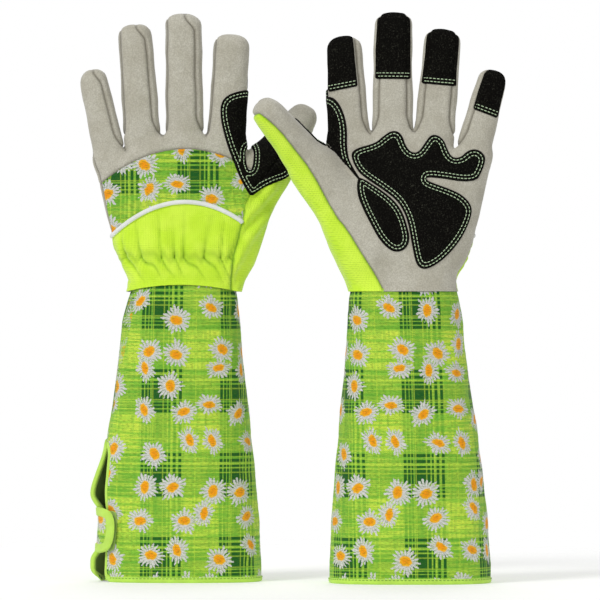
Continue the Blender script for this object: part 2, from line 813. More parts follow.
def cuff_lining():
    """The plain green inner side of the cuff."""
    f = Finish("cuff_lining", 0.9, sheen=0.1)
    weave = f.weave(CLOTH_PITCH)
    return f.done(f.mix(weave, linear(120, 150, 62), linear(150, 180, 88)), weave, 0.00025)


# The plaid's repeat and where it starts, in metres across the cloth and up it.
PLAID_ACROSS = (0.056, 0.030)
PLAID_UP = (0.0587, -0.0006)

# In shares of a repeat: each dark bar's middle and half width, each bright thread's middle, and the pale
# band's middle and where it starts and ends fading.
DARK_BARS = (
    (0.04, 0.02), (0.09, 0.018), (0.13, 0.014), (0.24, 0.085),
    (0.335, 0.02), (0.385, 0.014), (0.45, 0.02), (0.52, 0.02),
)
BRIGHT_THREADS = (0.175, 0.305, 0.41, 0.71)
BROAD_BAND = (0.28, 0.24, 0.34)

CLOTH_PITCH = 0.0013
DAISY_SPACING = 0.0241
DAISY_SHIFT = (3.3, 2.31, 0)
DAISY_RAGGED = 0.0030
PETALS = 19
PETAL_OVAL = 0.45
CENTRE_OVAL = 0.62
CENTRE_RADIUS = 0.135


def plaid(f, value, period, start):
    """The plaid along one direction: its dark bars, its bright threads and its broad, soft band."""
    share = f.math("FRACT", (value + start) / period)

    def mark(middle, full, gone):
        return f.between(abs(share - middle), full, gone, 1, 0)

    def strongest(marks):
        total = marks[0]
        for each in marks[1:]:
            total = f.math("MAXIMUM", total, each)
        return total

    bars = strongest([mark(middle, half * 0.75, half * 1.15) for middle, half in DARK_BARS])
    threads = strongest([mark(middle, 0.004, 0.009) for middle in BRIGHT_THREADS])
    return bars, threads, mark(*BROAD_BAND)


def daisies(f, x, z):
    """Scattered daisies: how much petal, how much orange centre, the gaps between petals, and the radius."""
    ragged = {0: f.noise(520, 2, 0.6) * DAISY_RAGGED + x, 1: f.noise(450, 2, 0.6) * DAISY_RAGGED + z}
    flat = f.node("ShaderNodeCombineXYZ", given=ragged)
    scaled = f.node("ShaderNodeVectorMath", given={0: flat, "Scale": 1 / DAISY_SPACING}, operation="SCALE")
    scaled = f.vector("ADD", scaled, DAISY_SHIFT)
    given = {"Vector": scaled, "Scale": 1.0, "Randomness": 0.62}
    cell = f.node("ShaderNodeTexVoronoi", "Position", given, voronoi_dimensions="2D", feature="F1")
    first, second, third = f.parts(Value(f, cell.socket.node.outputs["Color"]))
    given = {"Vector": f.vector("SUBTRACT", scaled, cell), "Angle": first * math.tau}
    x, y, _ = f.parts(f.node("ShaderNodeVectorRotate", given=given, rotation_type="Z_AXIS"))
    x = x * (second * PETAL_OVAL + 1.0)
    radius = f.math("SQRT", x * x + y * y)
    angle = f.math("ARCTAN2", y, x)
    lobes = abs(f.math("COSINE", angle * (PETALS / 2)))
    uneven = f.math("SINE", angle * 5 + third * 9) * 0.045 + f.noise(330, 2) * 0.22 - 0.11
    reach = lobes * 0.18 + 0.23 + uneven
    petal = f.between(reach - radius, -0.01, 0.02)
    gap = f.between(lobes, 0.15, 0.7, 1, 0) * f.between(radius, 0.12, 0.26)
    off = x - 0.03
    middle = f.math("SQRT", off * off + y * y * CENTRE_OVAL)
    return petal, f.between(middle, CENTRE_RADIUS, CENTRE_RADIUS + 0.025, 1, 0), gap, middle


def print_cloth():
    """Coarse printed cloth: green plaid under daisies."""
    f = Finish("print_fabric", 0.78, sheen=0.1)
    x, _, z = f.parts(f.place)
    down, thin_down, wide_down = plaid(f, x, *PLAID_ACROSS)
    over, thin_over, wide_over = plaid(f, z, *PLAID_UP)
    weft = f.between(f.noise(520, 2, 0.6, stretch=(0.05, 0.05, 1)), 0.42, 0.6)
    warp = f.between(f.noise(420, 2, 0.6, stretch=(1, 1, 0.05)), 0.45, 0.6)
    base = f.mix(weft, linear(216, 240, 78), linear(158, 214, 62))
    base = f.mix(warp * 0.35, base, linear(124, 196, 60))
    base = f.mix(f.math("MAXIMUM", wide_down, wide_over) * 0.22, base, linear(112, 192, 58))
    faded = f.noise(70, 2) * 0.7 + 0.2
    base = f.mix(f.math("MAXIMUM", down, over) * 0.7 * faded, base, linear(52, 150, 36))
    base = f.mix(down * over, base, linear(0, 88, 22))
    base = f.mix(f.math("MAXIMUM", thin_down, thin_over) * 0.45, base, linear(206, 238, 70))
    petal, centre, gap, middle = daisies(f, x, z)
    white = f.mix(gap * 0.7, linear(222, 220, 220), linear(150, 168, 130))
    base = f.mix(petal, base, white)
    orange = f.mix(f.between(middle, 0.06, 0.14), linear(255, 158, 0), linear(255, 190, 30))
    base = f.mix(centre * petal, base, orange)
    weave, ribs = f.weave(CLOTH_PITCH), f.noise(1500, 2, 0.6, stretch=(0.25, 0.25, 1))
    base = f.mix(f.between(ribs, 0.38, 0.52, 0.42, 0), base, linear(70, 112, 18))
    shade = f.between(weave, 0.1, 0.45, 0.3, 0)
    return f.done(f.mix(shade, base, linear(76, 118, 18)), weave + ribs, 0.00028)


MATERIALS = {
    "grey_suede": suede(),
    "grip_patch": grip(),
    "lime_fabric": lime_knit(),
    "print_fabric": print_cloth(),
    "lime_binding": tape("lime_binding", linear(196, 238, 92)),
    "white_piping": tape("white_piping", linear(244, 246, 244)),
    "hook_and_loop": hook_and_loop(),
    "elastic": tape("elastic", linear(210, 232, 120)),
    "thread": thread(),
    "hem_thread": tape("hem_thread", linear(120, 170, 50)),
    "lining": cuff_lining(),
}


# ------------------------------------------------------------------ where the hand's panels and patches are
GRID_STEP = 2.4 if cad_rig.quick() else 1.3
SKIN = 1.2
SIDE_SEAM_Y = 1.5
DIGIT_START = -2.0
DIGIT_SPLIT = 14.0
THUMB_STRIP = 13.5
SEAM_MIDDLE = 0.5
PIPING_HALF, PIPING_DEEP = 1.6, 1.3
ELASTIC_HEIGHT, ELASTIC_HALF = 228.0, 3.2
WRIST_BLEND = (209.0, 225.0)

# Outlines in the front view, across and height. The palm's are in glove 2's frame, the saddle's in glove 1's.
PALM_PATCH = [
    (41.9, 300.3), (37.7, 304.5), (24.3, 308), (18.7, 312.9), (13.7, 316.4), (8.8, 316.4), (5.3, 312.9),
    (3.2, 305.9), (-1.1, 301), (-6, 301.7), (-10.2, 308), (-14.4, 313.8), (-19.4, 313.8), (-23.6, 310.1),
    (-26.4, 302.4), (-29.9, 297.5), (-35.6, 298.2), (-39.8, 302.4), (-44.7, 304), (-49.8, 302.6),
    (-53.2, 297.6), (-51, 289.7), (-45.4, 279.6), (-13, 284.6), (-11.2, 282.4), (-14, 280.6), (-32, 274.2),
    (-39.1, 269.3), (-43.3, 262.9), (-42.6, 255.9), (-38.4, 246), (-32, 236.2), (-23.6, 227),
    (-15.8, 221.4), (-8.8, 219.3), (-3.9, 222.8), (-1.1, 236.9), (1.8, 253.1), (5.3, 261.5), (10.2, 268.6),
    (19.4, 275.6), (33.4, 284.8), (38.4, 291.1),
]
THENAR_PATCH = [
    (37.2, 283.6), (33.4, 283.6), (19.9, 274.9), (11, 267.6), (6, 260.6), (2.8, 252.2), (0.2, 241),
    (2.6, 234.6), (7.8, 231.6), (14, 232.6), (21.6, 239.8), (27.4, 250.6), (33, 261.3), (37.3, 272.1),
]
SADDLE_BACK = [
    (26.8, 330.5), (29.6, 341.1), (41.5, 346), (62, 348), (68, 318), (80, 291), (74.6, 284.1), (62.7, 279.8),
    (55.6, 275.6), (49.3, 270.7), (45.1, 277), (39.4, 288.3), (31, 310.8),
]
SADDLE_PALM = [
    (76, 342), (56, 341.5), (50.3, 336.9), (46.1, 328.4), (44, 317.9), (44.3, 306), (43.2, 297.5),
    (39.2, 289.5), (32, 279), (50, 262), (76, 290),
]
THUMB_CREASE = [
    (30, 275), (36.5, 282.6), (46, 293.5), (56, 305.5), (66, 318), (110, 372), (30, 372), (20, 300),
]
GUSSET = [(44.2, 306), (46.2, 291.6), (48.4, 288.8), (50.6, 292), (51.4, 306)]
WRIST_SEAM_BACK = [(35, 150), (35, 200), (36, 225), (40.5, 242), (43.6, 254.5), (46, 270)]
WRIST_SEAM_PALM = [(18, 150), (18, 203), (24, 215), (35, 232), (44, 247)]
# Fingertip patches: how far up the finger each starts, how that edge leans, and how far off the middle it is.
TIP_PATCHES = {
    "index": (29.5, 0.12, 4.0), "middle": (33.0, 0.0, 0.0),
    "ring": (31.0, 0.0, 0.0), "little": (23.0, -0.1, -1.5),
}
# Further off a seam, or further outside a patch, than anything looks.
FAR = 9.0


def carried(outline, source, target):
    """An outline moved from one glove's hand to the other's, which has other sections."""
    if source == target:
        return np.array(outline, float)
    moved = []
    for x, z in outline:
        tables = (GLOVES[source]["hand"], GLOVES[target]["hand"])
        left, right, to_left, to_right = (np.interp(z, t[:, 0], t[:, k]) for t in tables for k in (1, 2))
        share = (x - left) / (right - left)
        moved.append((to_left + share * (to_right - to_left), z))
    return np.array(moved)


class Hand:
    """One glove's digits, outlines and the fields that part its panels.

    near, in its calls, is what nearest gives: the digit, and the place along, across and towards its palm.
    """

    def __init__(self, glove):
        self.glove = glove
        self.shift = 4 if glove == "glove2" else 0
        self.digits = digits_of(glove)
        self.names = list(self.digits)
        self.lengths = np.array([d.length for d in self.digits.values()])
        self.second_folds = np.array([d.second_fold for d in self.digits.values()])
        self.palm_patch = rounded(carried(PALM_PATCH, "glove2", glove))
        self.thenar_patch = rounded(carried(THENAR_PATCH, "glove2", glove))
        self.saddle_back = rounded(carried(SADDLE_BACK, "glove1", glove))
        self.saddle_palm = rounded(carried(SADDLE_PALM, "glove2", glove))
        self.crease = carried(THUMB_CREASE, "glove2", glove)
        self.gusset = rounded(carried(GUSSET, "glove1", glove))
        thumb, root = self.digits["thumb"], np.array(GLOVES[glove]["thumb"]["root"], float)
        edge = self.strip_edge(thumb)
        strip = [(thumb.middle + thumb.along * t + thumb.across * u)[[0, 2]] for t, u in edge]
        far = [(170, strip[-1][1]), (170, 150)]
        halfway = (root + thumb.middle)[[0, 2]] / 2 + thumb.across[[0, 2]] * 5.5
        self.side_back = rounded([*carried(WRIST_SEAM_BACK, "glove1", glove), *strip, *far], 1)
        self.side_palm = rounded([*carried(WRIST_SEAM_PALM, "glove2", glove), halfway, *strip, *far], 1)

    def strip_edge(self, thumb):
        """The lime strip's edge on the thumb, along and across it, tapering to the tip."""
        for share in (0.03, 0.35, 0.6):
            t = thumb.length * share
            yield t, thumb.half_width(t) - THUMB_STRIP * (1 - 0.35 * share)
        end = thumb.length - GLOVES[self.glove]["thumb"]["strip_short"]
        for short, off_edge in ((5, -5.5), (0.5, -3.5), (0, 6)):
            yield end - short, thumb.half_width(thumb.length) + off_edge

    def piping_arch(self, p):
        return 267.1 - 0.0088 * (p[:, 0] - self.shift - 3) ** 2

    def print_arch(self, p):
        return 304.5 - 0.0067 * (p[:, 0] - self.shift - 3) ** 2

    def side_seam(self, p):
        """The height off the middle plane of the little finger's seam, where suede wraps round."""
        wrap = smooth((p[:, 2] - 236) / 16) * smooth((310 - p[:, 2]) / 16) * smooth(-p[:, 0] / 20)
        return SIDE_SEAM_Y - 6.2 * wrap

    def bottom(self, p):
        """How far above the seam with the cuff, which arches up on the back."""
        arch = 4.6 * np.clip(1 - ((p[:, 0] - self.shift) / 40) ** 2, 0, 1) * smooth(-p[:, 1] / 16)
        return p[:, 2] - 204.2 - arch

    def nearest(self, p):
        """Which digit is nearest, and how far along it, across it and towards its palm side."""
        outs = np.array([d.outside(p, start=-40.0) for d in self.digits.values()])
        which = np.argmin(outs, 0)
        local = np.array([d.local(p) for d in self.digits.values()])
        t, u, v = (local[which, k, np.arange(len(p))] for k in range(3))
        return which, t, u, v

    def side(self, p):
        """Inside the lime panel along the thumb's outer side."""
        back, palm = (outline_distance(p[:, [0, 2]], edge) for edge in (self.side_back, self.side_palm))
        return np.where(p[:, 1] < self.edge_height(p), back, palm)

    def edge_height(self, p):
        """The height off the middle plane of the hand's and the thumb's outline."""
        thumb = self.digits["thumb"]
        root = GLOVES[self.glove]["thumb"]["root"]
        share = smooth((p[:, 2] - root[2]) / (thumb.middle[2] - root[2]))
        along = np.clip((p[:, 2] - thumb.middle[2]) / thumb.along[2], 0, None)
        over = smooth((p[:, 0] - 25) / 20)
        return over * share * (thumb.middle[1] + along * thumb.along[1])

    def outer_side(self, near):
        """On the outer side of the index or little finger, where nothing but a seam parts back and palm."""
        which, _, u, _ = near
        names = np.array(self.names)[which]
        return ((names == "index") & (u > 0)) | ((names == "little") & (u < 0))

    def strip(self, near):
        """Inside the side strips that run up the fingers between their backs and palms, and over the tips."""
        which, t, u, v = near
        half = np.choose(which, [d.half_width(t) for d in self.digits.values()])
        width = np.where(v > SEAM_MIDDLE, 4.0, np.where(u > 0, 4.6, 1.0))
        width = width * smooth((t + 8) / 17) - 2.4 * smooth(-t / 7)
        on_back = (u > 0) & (v < SEAM_MIDDLE)
        over_tip = smooth((t - self.lengths[which] + 13) / 12) * (half - width - 1) * on_back
        inside = np.minimum(np.abs(u) - half + width + over_tip, (t + 9) * 0.8)
        return np.where(self.outer_side(near) | (which == THUMB), -5.0, inside)

    def outer_seam(self, near):
        """Distance to the plain seam up the outer sides of the index and little finger and over the tips."""
        which, t, _, v = near
        plain = self.outer_side(near) | (t > self.lengths[which] - 4)
        return np.where(plain & (which != THUMB), np.abs(v - SEAM_MIDDLE), FAR)

    def thumb_seam(self, near):
        """Distance to the seam up the thumb's inner side."""
        which, _, u, v = near
        return np.where((which == THUMB) & (u < 0), np.abs(v + 2.0), FAR)

    # Patches: how far inside each, on the skin.
    def palm_patch_at(self, p, near):
        return np.where(p[:, 1] > 0, outline_distance(p[:, [0, 2]], self.palm_patch), -FAR)

    def thenar_patch_at(self, p, near):
        return np.where(p[:, 1] > 0, outline_distance(p[:, [0, 2]], self.thenar_patch), -FAR)

    def saddle_patch_at(self, p, near, to_crease=True):
        """The saddle patch; the stitches on its palm side ignore the thumb's crease, where it's tucked in."""
        which, _, _, v = near
        flat = p[:, [0, 2]]
        back = np.minimum(outline_distance(flat, self.saddle_back), -outline_distance(flat, self.gusset))
        palm = outline_distance(flat, self.saddle_palm)
        if to_crease:
            palm = np.minimum(palm, outline_distance(flat, self.crease))
        plain = np.where(p[:, 1] < 1.0, back, palm)
        return np.where((which == THUMB) & (p[:, 0] > 48 + self.shift), np.minimum(back, 1.0 - v), plain)

    def tip_patch_at(self, p, near, name):
        """A fingertip patch over the palm side, round over the tip."""
        which, t, u, v = near
        low, lean, off_middle = TIP_PATCHES[name]
        sides = self.digits[name].half_width(t) - 1.6 - np.abs(u - off_middle)
        inside = smooth_min(smooth_min(t - low + lean * u, sides, 1.6), v - 3.6, 2.5)
        return np.where(which == self.names.index(name), inside, -FAR)

    def above_low_edge(self, p, name):
        """How far up the finger from its fingertip patch's lower edge."""
        t, u, _ = self.digits[name].local(p)
        low, lean, _ = TIP_PATCHES[name]
        return t - low + lean * u


GATHER_HEIGHT = 4.6
GATHER_PITCH = 10.5


def gathers(hand, p):
    """Puffs above the elastic across the wrist's back, slanting folds below it, and their shade."""
    x, up = p[:, 0] - hand.shift, p[:, 2] - ELASTIC_HEIGHT
    uneven = 2.2 * np.sin(x * 0.17 + 1) + 1.2 * np.sin(x * 0.43)
    spread = x * (1 - 0.006 * np.clip(up, 0, 40))
    slanted = x + 0.75 * up
    lobes = np.abs(np.cos(math.pi * (np.where(up > 0, spread, slanted) + uneven) / GATHER_PITCH))
    strength = np.exp(-np.abs(up) / np.where(up > 0, 15 + 5 * np.sin(x * 0.31), 12))
    pinch = hump(up + 2.4 * np.sin(x * 0.6 + uneven), 2.6)
    rise = GATHER_HEIGHT * (np.sqrt(lobes) - 0.7) * strength - 0.8 * pinch
    rise += 1.5 * hump(up - 10, 7) + 0.8 * hump(up + 9, 6)
    return rise, np.maximum(smooth(1 - lobes / 0.5) * strength, 0.45 * pinch)


def to_seam(hand, p, near, side, back):
    """How far from the nearest seam between two panels."""
    on_hand = near[1] < DIGIT_START
    seams = [np.abs(side), hand.outer_seam(near), np.abs(hand.strip(near)), hand.thumb_seam(near)]
    seams.append(np.where(on_hand & (side < 0) & (p[:, 0] < 0), np.abs(p[:, 1] - hand.side_seam(p)), FAR))
    seams.append(np.where((back > 0.5) & (side < 1) & on_hand, np.abs(p[:, 2] - hand.print_arch(p)), FAR))
    return np.min(seams, axis=0)


def thumb_tuck(hand, p, near):
    """The palm's swelling beside the thumb's crease, and the crease itself."""
    inside = outline_distance(p[:, [0, 2]], hand.crease)
    near_crease = smooth((p[:, 1] - 2) / 5) * smooth((p[:, 2] - 272) / 12) * smooth((p[:, 0] - 30) / 8)
    near_crease = near_crease * smooth(2 - np.abs(inside) / 5) * (near[0] != THUMB) * (near[1] < DIGIT_START)
    return near_crease * (1.3 * smooth(1 + inside / 5) - 2.0 * smooth(0.5 + inside / 1.6))


def relief(hand, p):
    """How far the sewn, stuffed cloth stands off the smooth hand, and how much in shade it is."""
    near = hand.nearest(p)
    which, t, _, v = near
    side, bottom = hand.side(p), hand.bottom(p)
    back = smooth(0.5 - p[:, 1] / 8)
    out = 0.4 * waves(p, 38, 1) + 0.22 * waves(p, 15, 2) + 0.08 * waves(p, 6, 3)
    distance = to_seam(hand, p, near, side, back)
    out += 0.3 * hump(distance - 2.6, 1.6) - 0.9 * hump(distance, 0.9)
    lime_back = back * smooth((hand.piping_arch(p) - p[:, 2]) / 8) * smooth((bottom - 1) / 7)
    folds = lime_back * smooth(0.5 - side / 5) * smooth((p[:, 0] + 52) / 14)
    rise, folded = gathers(hand, p)
    out += folds * rise
    slant = np.sin((p[:, 0] - 0.75 * p[:, 2]) * 0.42 + 0.8 * np.sin(p[:, 2] * 0.11))
    out += smooth(side / 4) * back * smooth((290 - p[:, 2]) / 20) * 1.5 * slant
    out += thumb_tuck(hand, p, near)
    out -= 0.35 * hump(t - hand.second_folds[which], 1.4) * smooth(v / 4) * (which != THUMB)
    out += 0.6 * smooth(1 - bottom / 3.2)
    return out, np.maximum(hump(distance, 0.75), 0.8 * folds * folded)


# Each panel's material, which is its slot's name too, in the order of panel_of's numbers.
PANELS = {
    "palm_panel": "grey_suede", "knuckle_panel": "grey_suede", "print_panel": "print_fabric",
    "wrist_panel": "lime_fabric", "thumb_side_panel": "lime_fabric", "fourchettes": "grey_suede",
}
# Where the print panel was cut from the printed cloth, in millimetres from where it is on the hand.
PANEL_CLOTH_SHIFT = {"print_panel": np.array([-26.3, 0.0, -36.5])}
# A panel or patch that crosses to another part of the hand by fewer triangles than this has no piece there.
FEWEST_TRIANGLES = 12


def panel_of(hand, p, near):
    label = np.where(p[:, 2] > hand.piping_arch(p), 2, 3)
    label = np.where(p[:, 2] > hand.print_arch(p), 1, label)
    label = np.where(p[:, 1] > hand.side_seam(p), 0, label)
    label = np.where(near[1] > DIGIT_START, 0, label)
    label = np.where(hand.strip(near) > 0, 5, label)
    return np.where(hand.side(p) > 0, 4, label)


def zone_of(near):
    """0 on the hand, then two for each digit: its lower and its upper skin."""
    which, t = near[:2]
    zone = np.where(t > DIGIT_SPLIT, 2 * which + 2, 2 * which + 1)
    return np.where(t > DIGIT_START, zone, 0)


def rig(thing, glove, zone, hand, heights):
    """Makes a piece of skin with these heights follow its bodies, bending at the fold that it crosses."""
    if zone == 0:
        if heights.min() > WRIST_BLEND[1]:
            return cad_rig.ride(thing, f"{glove}_hand")
        start, end = ((0, 0, z / 1000) for z in WRIST_BLEND)
        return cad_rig.blend(thing, f"{glove}_cuff", f"{glove}_hand", start=start, end=end)
    digit_number, upper = divmod(zone - 1, 2)
    name = hand.names[digit_number]
    digit = hand.digits[name]
    bodies = (f"{glove}_hand", f"{glove}_{name}_base", f"{glove}_{name}_tip")
    reach = (digit.second_fold - 7, digit.second_fold + 9) if upper else (DIGIT_START, DIGIT_SPLIT - 1)
    start, end = (to_row(digit.middle + digit.along * t, glove) for t in reach)
    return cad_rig.blend(thing, bodies[upper], bodies[upper + 1], start=start, end=end)


def zone_name(hand, zone):
    digit_number, upper = divmod(zone - 1, 2)
    return hand.names[digit_number] + ("_lower", "_upper")[upper]


def build_hand(glove):
    """The hand's skin, patches and piping.

    Each row of data holds a point, its normal, its place on the smooth hand and its shade.
    """
    hand = Hand(glove)
    data, tris = hand_mesh(glove, GRID_STEP)
    data, tris = cut_along(data, tris, hand.bottom(data))
    tris = tris[hand.bottom(data[tris].mean(1)) > 0]
    for field in (
        lambda p, near: hand.side(p),
        lambda p, near: p[:, 1] - hand.side_seam(p),
        lambda p, near: p[:, 2] - hand.piping_arch(p),
        lambda p, near: p[:, 2] - hand.print_arch(p),
        lambda p, near: np.clip(near[1] - DIGIT_START, -FAR, FAR),
        lambda p, near: np.clip(near[1] - DIGIT_SPLIT, -FAR, FAR),
        lambda p, near: hand.strip(near),
    ):
        data, tris = cut_along(data, tris, field(data, hand.nearest(data)))
    tris = clean(tris)
    smooth_normals = unit(gradient(lambda q: hand_outside(q, glove), data))
    rise, shade = relief(hand, data)
    points = data + smooth_normals * rise[:, None]
    data = np.hstack([points, vertex_normals(points, tris), data, shade[:, None]])
    add_skin(glove, hand, data, tris)
    for name in ("palm_patch", "thenar_patch", "saddle_patch"):
        add_patch(glove, hand, data, tris, name, getattr(hand, f"{name}_at"))
    for finger in FINGERS:
        add_patch(
            glove, hand, data, tris, f"{finger}_patch",
            lambda p, near, to=finger: hand.tip_patch_at(p, near, to),
        )
    add_piping(glove, hand, data, tris)
    return hand


def add_skin(glove, hand, data, tris):
    """The panels' cloth, a piece for each panel and each part of the hand that it crosses."""
    centres = data[tris][:, :, 6:9].mean(1)
    near = hand.nearest(centres)
    panel, zone = panel_of(hand, centres, near), zone_of(near)
    for z in np.unique(zone):
        for k in np.unique(panel[zone == z]):
            chosen = tris[(zone == z) & (panel == k)]
            if len(chosen) < FEWEST_TRIANGLES:
                continue
            name = list(PANELS)[k]
            points, normals, faces, used = shell(data[:, :3], data[:, 3:6], chosen, SKIN)
            cloth = np.vstack([data[used, 6:9] + PANEL_CLOTH_SHIFT.get(name, 0)] * 2)
            shade = np.tile(data[used, 9], 2)
            title = f"{glove}.{name}" if z == 0 else f"{glove}.{zone_name(hand, z)}_{name}"
            thing = piece(title, glove, points, faces, PANELS[name], PANELS[name], normals, cloth, shade)
            rig(thing, glove, z, hand, points[:, 2])
            if z == 0 and name != "fourchettes":
                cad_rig.replaces(thing, f"{glove}_{name}")
            if z > 0 and name == "palm_panel":
                digit, part = hand.names[(z - 1) // 2], ("base", "tip")[(z - 1) % 2]
                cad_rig.replaces(thing, f"{glove}_{digit}_{part}")


PATCH_STEPS = (0.0, 0.6, 1.3)
PATCH_RISE = 1.15
PATCH_SINK = 0.3
STITCH_ROWS = (1.9, 4.1)
PATCH_THICK = 1.0


def add_patch(glove, hand, data, tris, name, field):
    """A black patch whose inside the field tells, sewn on with two rows of stitches."""

    def inside(rows):
        return field(rows[:, 6:9], hand.nearest(rows[:, 6:9]))

    close = (inside(data) > -3)[tris].any(1)
    used, flat = np.unique(tris[close], return_inverse=True)
    data, tris = data[used], flat.reshape(-1, 3)
    for step in PATCH_STEPS:
        data, tris = cut_along(data, tris, inside(data) - step, snap=0.05)
        if step == 0:
            tris = tris[inside(data)[tris].min(1) > -0.06]
    tris = clean(tris)
    depth = np.maximum(inside(data), 0)
    edge = np.sqrt(np.clip(depth / PATCH_STEPS[-1], 0, 1))
    lift = 0.3 + (PATCH_RISE - 0.3) * edge + 0.35 * smooth((depth - 4) / 4)
    raised = data.copy()
    raised[:, :3] += data[:, 3:6] * lift[:, None]
    raised[:, 3:6] = vertex_normals(raised[:, :3], tris)
    zone = zone_of(hand.nearest(raised[tris][:, :, 6:9].mean(1)))
    one_zone = len(np.unique(zone)) == 1
    finger = name.split("_")[0] if name.split("_")[0] in FINGERS else None
    for z in np.unique(zone):
        chosen = tris[zone == z]
        if len(chosen) < FEWEST_TRIANGLES:
            continue
        points, normals, faces, kept = shell(raised[:, :3], raised[:, 3:6], chosen, PATCH_THICK)
        points[len(kept):] = (data[:, :3] - data[:, 3:6] * PATCH_SINK)[kept]
        title = f"{glove}.{name}" + ("" if one_zone or z == 0 else "_" + zone_name(hand, z))
        cloth = np.vstack([raised[kept, 6:9]] * 2)
        thing = piece(title, glove, points, faces, "grip_patch", "grip_patch", normals, cloth)
        rig(thing, glove, z, hand, points[:, 2])
        if z == 0 or finger and (z - 1) % 2:
            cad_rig.replaces(thing, f"{glove}_{name}")
    add_stitches(glove, hand, name, finger, raised, tris, inside(raised))


def add_stitches(glove, hand, name, finger, data, tris, depth):
    """Two rows of separate stitches inside a patch's edge, or above a fingertip patch's lower edge."""
    groups = {}
    if name == "saddle_patch":
        tris = tris[(depth > 0.9)[tris].all(1)]
        depth = hand.saddle_patch_at(data[:, 6:9], hand.nearest(data[:, 6:9]), to_crease=False)
    if finger:
        tris = tris[(depth > 0.7)[tris].all(1)]
        depth = hand.above_low_edge(data[:, 6:9], finger)
    for row in STITCH_ROWS:
        for chain in trace(data, tris, depth - row):
            if len(chain) < 6:
                continue
            middles, bodies = stitch_row(chain, 0.05)
            zones = zone_of(hand.nearest(middles[:, 6:9]))
            for z in np.unique(zones):
                groups.setdefault(z, []).append(bodies[zones == z])
    for z, bodies in groups.items():
        bodies = np.concatenate(bodies)
        title = f"{glove}.{name}_stitches" + ("" if z == 0 else "_" + zone_name(hand, z))
        rig(stitches(title, glove, bodies, "thread", "grip_patch"), glove, z, hand, bodies[..., 2])


def add_piping(glove, hand, data, tris):
    """White piping over the seam between the wrist panel and the print panel, and the elastic inside."""
    rest = data[:, 6:9]
    wrist = (rest[:, 1] < hand.side_seam(rest) - 0.6) & (hand.side(rest) < 0.5)
    chosen = tris[wrist[tris].all(1)]
    chain = max(trace(data, chosen, rest[:, 2] - hand.piping_arch(rest)), key=len)
    rows = resample(chain, 1.5)
    for _ in range(3):
        rows[1:-1] = (rows[:-2] + rows[1:-1] * 2 + rows[2:]) / 4
    points, faces = tube(rows[:, :3] + rows[:, 3:6] * 0.7, rows[:, 3:6], PIPING_HALF, PIPING_DEEP)
    thing = piece(f"{glove}.piping", glove, points, faces, "white_piping", "white_piping")
    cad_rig.replaces(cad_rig.ride(thing, f"{glove}_hand"), f"{glove}_piping")
    off_elastic = np.abs(rest[:, 2] - ELASTIC_HEIGHT)
    band = chosen[(off_elastic[chosen] < ELASTIC_HALF).all(1)]
    points, normals, faces, _ = shell(data[:, :3], data[:, 3:6], band, 0.8, lift=-SKIN - 0.6)
    thing = piece(f"{glove}.wrist_elastic", glove, points, faces, "elastic", "elastic", normals)
    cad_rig.replaces(rig(thing, glove, 0, hand, points[:, 2]), f"{glove}_wrist_elastic")


# ------------------------------------------------------------------ the cuff
CUFF_COLUMNS = 120 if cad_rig.quick() else 220
CUFF_ROWS = 70 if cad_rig.quick() else 130
CUFF_SKIN = 1.3
SLIT_WIDTH = 9.0
SLIT_HEIGHT = 96.0
TAB_LOW, TAB_HIGH = 20.0, 52.0
TAB_START, TAB_END = -20.0, 17.0
TAB_BEND = (-18.5, -11.0)
TAB_CORNER = 7
HEM_HALF = 2.1
HEM_CORNER = 6
TAPE_DEEP = 1.35
PALM_CLOTH_SHIFT = 31
# How finely the way round the cuff is measured: heights, and shares of the way round at each.
LEVELS = 60
SHARES = 720


